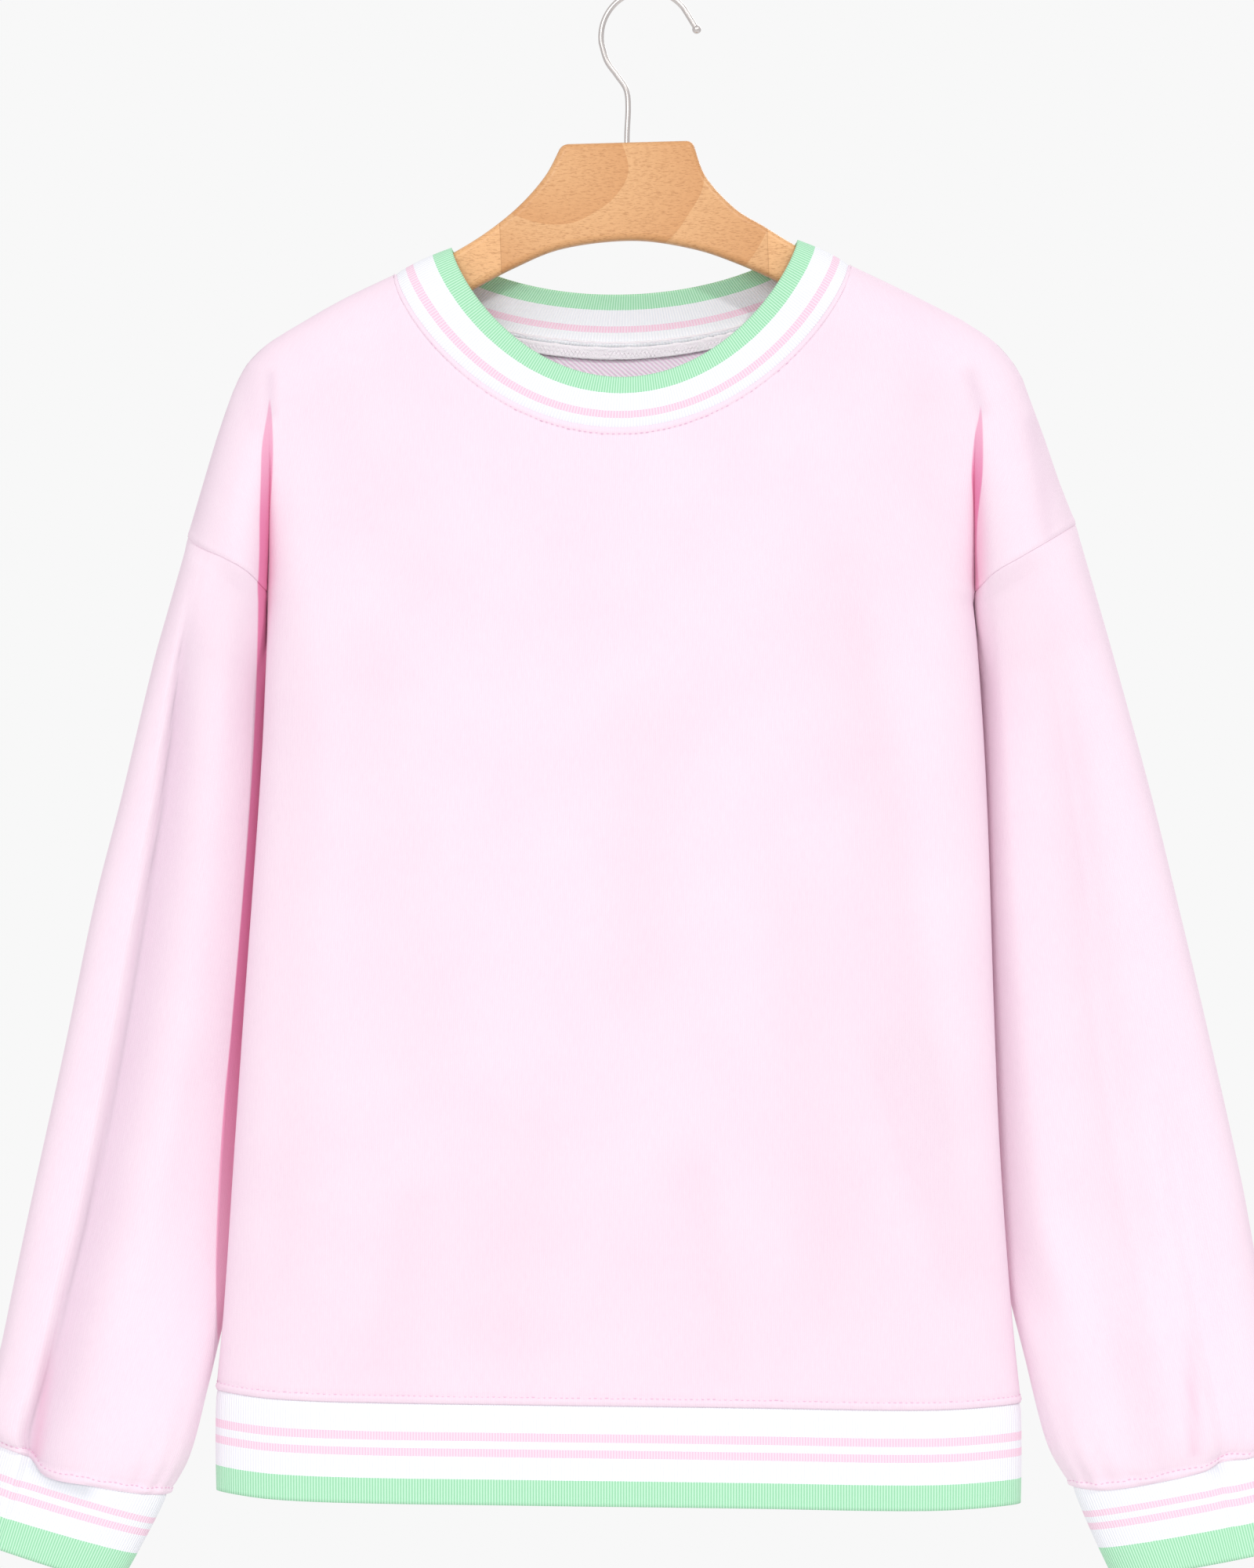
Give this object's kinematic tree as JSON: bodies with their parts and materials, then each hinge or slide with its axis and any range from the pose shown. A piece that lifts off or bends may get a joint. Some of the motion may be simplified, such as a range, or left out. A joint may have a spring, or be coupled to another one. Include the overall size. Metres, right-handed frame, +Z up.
{
  "type": "crewneck sweatshirt on a wooden hanger",
  "caption": "Long-sleeved crewneck sweatshirt with striped rib neckband, cuffs and hem band, hung on a flat wooden hanger with a wire hook.",
  "frame": {"origin": "inside top of the hanger's hook, where a rail carries it", "axes": "+Z up, the front of the garment faces -Y, the wearer's left is +X"},
  "size_m": [0.7076, 0.0776, 0.8554],
  "materials": {
    "fleece_knit": "matt cotton jersey with a soft hand",
    "rib_knit": "matt flat-knit rib with pink and mint stripes",
    "overlock_edge": "matt overlocked thread",
    "hanger_wood": "satin lacquered beech",
    "hook_wire": "satin nickel plate"
  },
  "bodies": {
    "root": {"front_panel": "fleece_knit", "back_panel": "fleece_knit", "sleeve_right": "fleece_knit", "sleeve_left": "fleece_knit", "cuff_right": "rib_knit", "cuff_left": "rib_knit", "hem_rib": "rib_knit", "neck_rib": "rib_knit", "back_neck_seam": "overlock_edge", "hanger": "hanger_wood", "hook": "hook_wire"}
  },
  "joints": []
}
